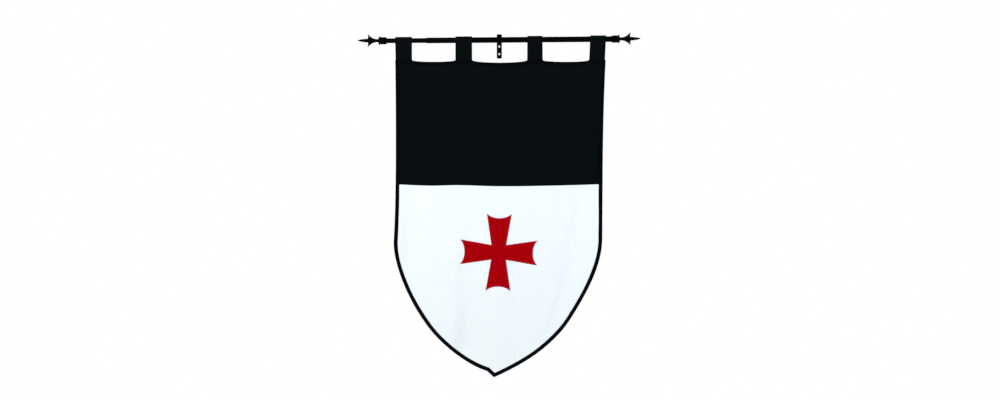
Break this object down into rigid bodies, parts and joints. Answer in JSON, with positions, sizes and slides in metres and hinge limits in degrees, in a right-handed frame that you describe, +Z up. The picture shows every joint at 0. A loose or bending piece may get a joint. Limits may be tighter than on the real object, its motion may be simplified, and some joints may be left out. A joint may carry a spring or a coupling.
{
  "type": "hanging flag with rod",
  "caption": "Shield-shaped cloth flag with a cross, dark edge binding and hanging tabs, on an extending rod with spear finials held by a hook bracket on the wall.",
  "frame": {"origin": "on the bracket's back face, halfway between its two screw slots", "axes": "+Z is up, +X is to the right for a viewer in the room, and +Y points into the wall"},
  "size_m": [1.0031, 0.063, 1.2243],
  "materials": {
    "black_cloth": "matt plain-woven cotton, bluish black",
    "white_cloth": "matt plain-woven cotton, cool white",
    "red_cloth": "plain-woven cotton, deep red, with a close zigzag edge",
    "dark_tape": "twill tape with a faint sheen, dark bluish black",
    "black_paint": "satin black powder coat on steel"
  },
  "bodies": {
    "root": {"panel_black": "black_cloth", "panel_white": "white_cloth", "binding": "dark_tape", "cross_applique": "red_cloth", "tab_1": "black_cloth", "tab_2": "black_cloth", "tab_3": "black_cloth", "tab_4": "black_cloth", "rod_outer_tube": "black_paint", "rod_inner_tube": "black_paint", "finial_left": "black_paint", "finial_right": "black_paint", "bracket": "black_paint"}
  },
  "joints": []
}
